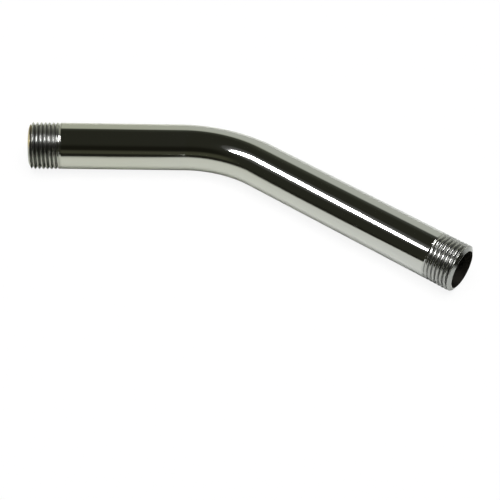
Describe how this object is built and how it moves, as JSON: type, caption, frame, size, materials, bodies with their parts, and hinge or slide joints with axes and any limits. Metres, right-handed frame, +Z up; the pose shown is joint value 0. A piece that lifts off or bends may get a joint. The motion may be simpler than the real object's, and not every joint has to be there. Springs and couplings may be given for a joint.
{
  "type": "shower arm",
  "caption": "Bent chrome-plated brass tube with a male pipe thread at each end, carrying water from a wall fitting to a shower head.",
  "frame": {"origin": "centre of the end face at the wall end, on the tube's axis", "axes": "+X along the wall leg from the wall end to the bend, +Z up and square to the bend's plane, with the outlet leg bending towards -Y, as the arm lies on a flat surface"},
  "size_m": [0.1895, 0.0977, 0.021],
  "materials": {
    "chrome_plate": "polished bright chrome plate on brass"
  },
  "bodies": {
    "root": {"shower_arm": "chrome_plate"}
  },
  "joints": []
}
